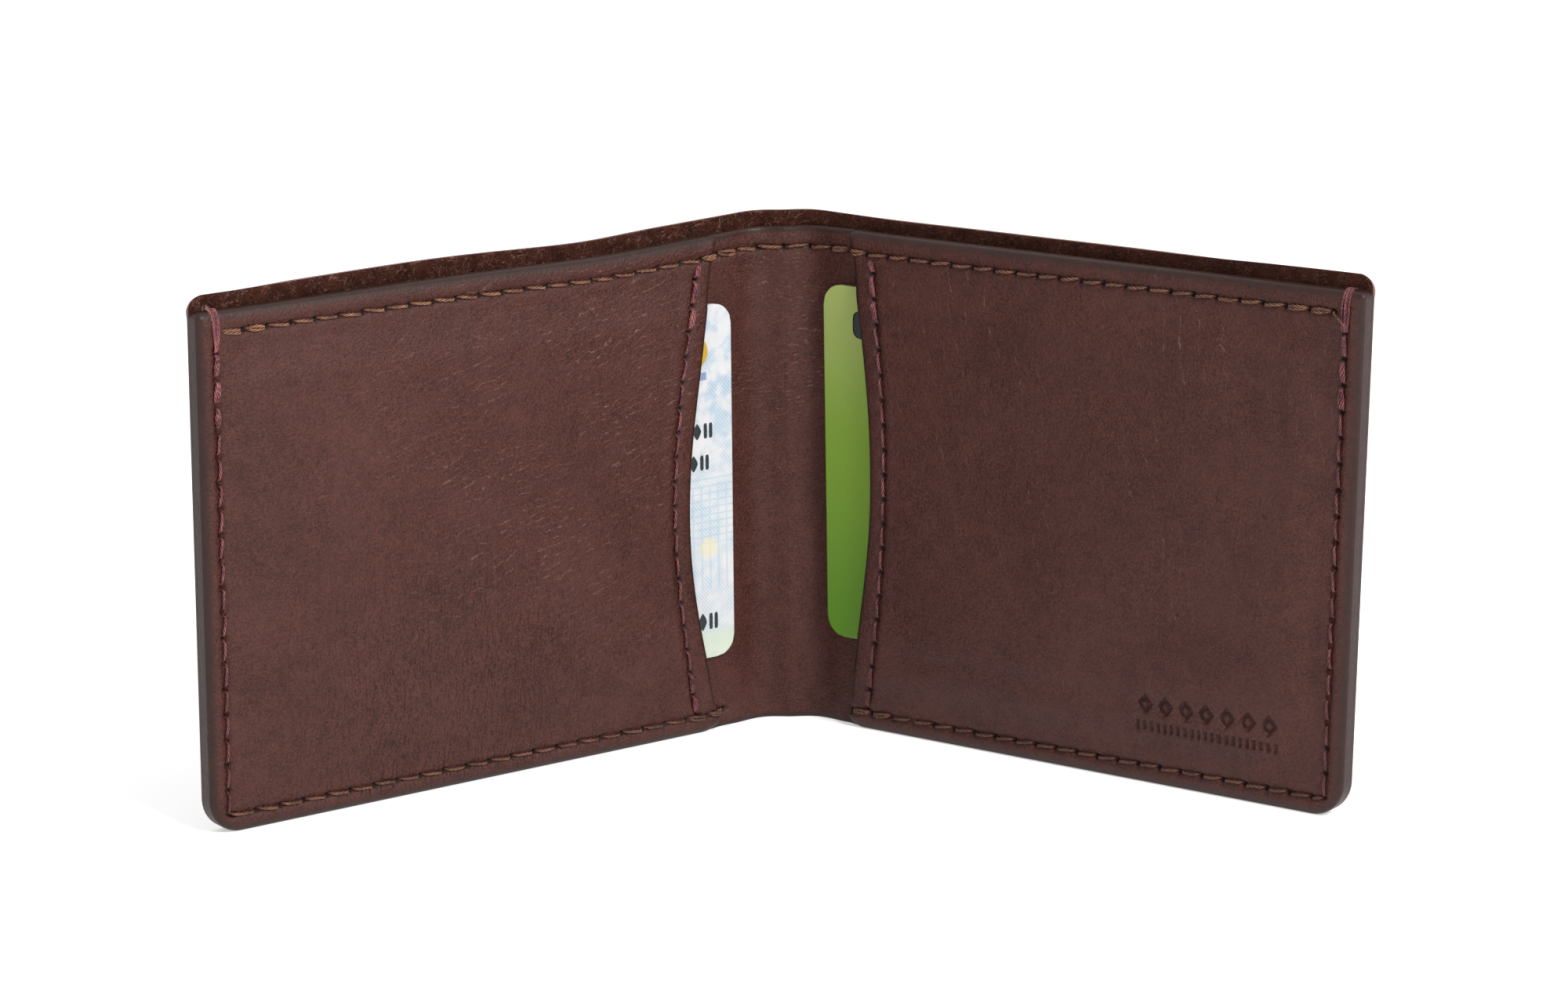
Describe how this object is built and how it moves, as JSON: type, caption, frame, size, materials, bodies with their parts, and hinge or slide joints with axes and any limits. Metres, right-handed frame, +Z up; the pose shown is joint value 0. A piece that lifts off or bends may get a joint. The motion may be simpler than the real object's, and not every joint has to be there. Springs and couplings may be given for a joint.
{
  "type": "bifold card wallet",
  "caption": "Slim bifold wallet of brown stitched leather, standing half open, with a side-entry card pocket and a card on each leaf and a banknote compartment behind.",
  "frame": {"origin": "centre of the footprint, on the surface that the wallet stands on", "axes": "+Z up, +X along the open wallet to its right-hand leaf, +Y towards the back of the spine; the leaves come forward to -Y"},
  "size_m": [0.1648, 0.0606, 0.0776],
  "materials": {
    "shell_leather": "smooth full-grain leather with a satin sheen outside and suede inside",
    "inner_leather": "smooth full-grain leather with a fine pebbled grain and painted edges",
    "lining_suede": "thin skived leather",
    "brown_thread": "waxed twisted thread",
    "maroon_thread": "waxed twisted thread",
    "pale_card": "printed plastic card, satin",
    "green_card": "printed plastic card, satin"
  },
  "bodies": {
    "spine": {"shell_spine": "shell_leather", "liner_spine": "inner_leather", "top_seam_spine": "brown_thread"},
    "left_leaf": {"shell_left": "shell_leather", "liner_left": "inner_leather", "pocket_left": "inner_leather", "lining_left": "lining_suede", "top_seam_left": "brown_thread", "bottom_seam_left": "brown_thread", "side_seam_left": "maroon_thread", "curve_seam_left": "maroon_thread"},
    "right_leaf": {"shell_right": "shell_leather", "liner_right": "inner_leather", "pocket_right": "inner_leather", "lining_right": "lining_suede", "top_seam_right": "brown_thread", "bottom_seam_right": "brown_thread", "side_seam_right": "maroon_thread", "curve_seam_right": "maroon_thread"},
    "left_card": {"card_left": "pale_card"},
    "right_card": {"card_right": "green_card"}
  },
  "joints": [
    {"name": "left_fold", "type": "hinge", "parent": "spine", "child": "left_leaf", "pos_m": [-0.0039, 0.02749, 0], "axis": [0, 0, 1], "range_deg": [-36.3, 54.4], "deforming": ["shell_spine", "liner_spine", "top_seam_spine"]},
    {"name": "right_fold", "type": "hinge", "parent": "spine", "child": "right_leaf", "pos_m": [0.0039, 0.02749, 0], "axis": [0, 0, -1], "range_deg": [-36.3, 54.4]},
    {"name": "left_card_slide", "type": "slide", "parent": "left_leaf", "child": "left_card", "axis": [0.8059, 0.592, 0], "range_m": [0, 0.0034]},
    {"name": "right_card_slide", "type": "slide", "parent": "right_leaf", "child": "right_card", "axis": [-0.8059, 0.592, 0], "range_m": [-0.0014, 0.0004]}
  ],
  "couplings": [
    {"joint": "right_fold", "follows": "left_fold", "ratio": 1}
  ]
}
